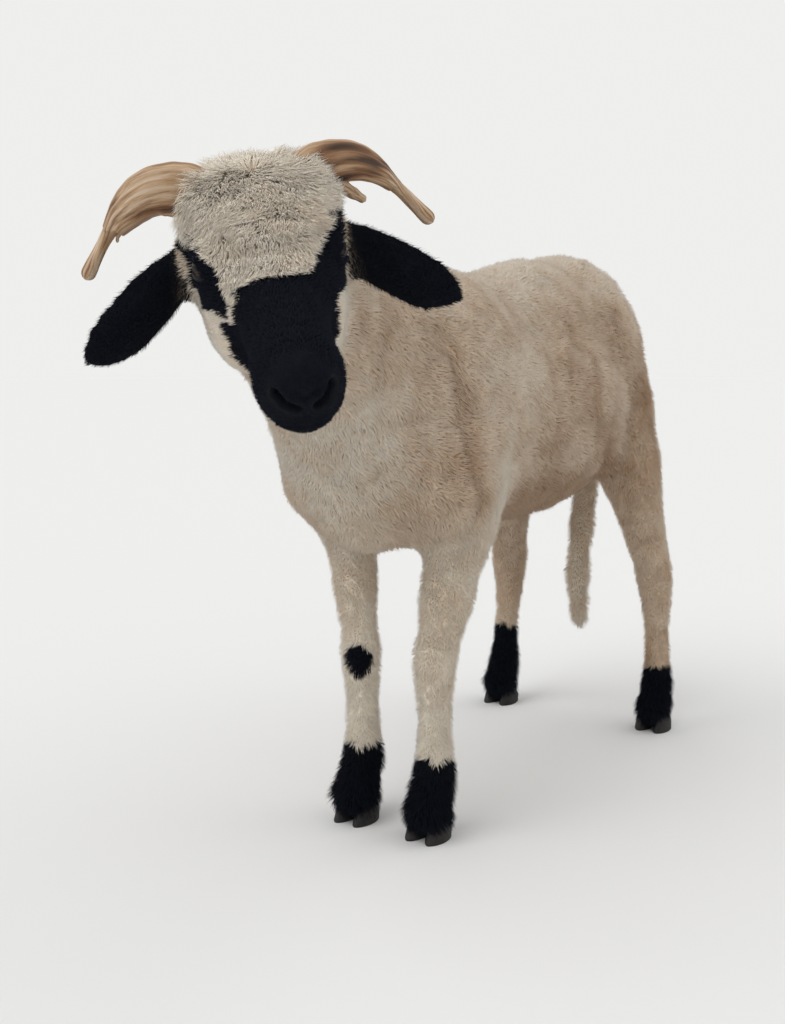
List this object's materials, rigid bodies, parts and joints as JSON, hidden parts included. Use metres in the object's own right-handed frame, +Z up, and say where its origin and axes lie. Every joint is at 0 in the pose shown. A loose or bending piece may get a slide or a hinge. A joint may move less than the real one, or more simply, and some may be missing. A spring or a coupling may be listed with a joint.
{
  "type": "sheep",
  "caption": "Life-size standing horned sheep with a short shorn coat, head turned to its left and tipped, long tail hanging.",
  "frame": {"origin": "on the floor, under the middle of the sheep's bounding box", "axes": "+Z up; the sheep's body faces -Y, and its left side is +X"},
  "size_m": [0.3902, 1.0898, 0.7706],
  "materials": {
    "pale_coat": "short dense wool, matt",
    "dark_coat": "short black hair, matt",
    "horn": "rough flaking horn",
    "hoof": "dull dark hoof horn",
    "eye": "wet and glossy"
  },
  "bodies": {
    "root": {"head": "pale_coat", "neck": "pale_coat", "trunk": "pale_coat", "fore_leg_left": "pale_coat", "fore_leg_right": "pale_coat", "hind_leg_left": "pale_coat", "hind_leg_right": "pale_coat", "tail": "pale_coat", "ear_left": "dark_coat", "ear_right": "dark_coat", "horn_left": "horn", "horn_right": "horn", "eye_left": "eye", "eye_right": "eye", "claw_fore_left_inner": "hoof", "claw_fore_left_outer": "hoof", "claw_fore_right_inner": "hoof", "claw_fore_right_outer": "hoof", "claw_hind_left_inner": "hoof", "claw_hind_left_outer": "hoof", "claw_hind_right_inner": "hoof", "claw_hind_right_outer": "hoof"}
  },
  "joints": []
}
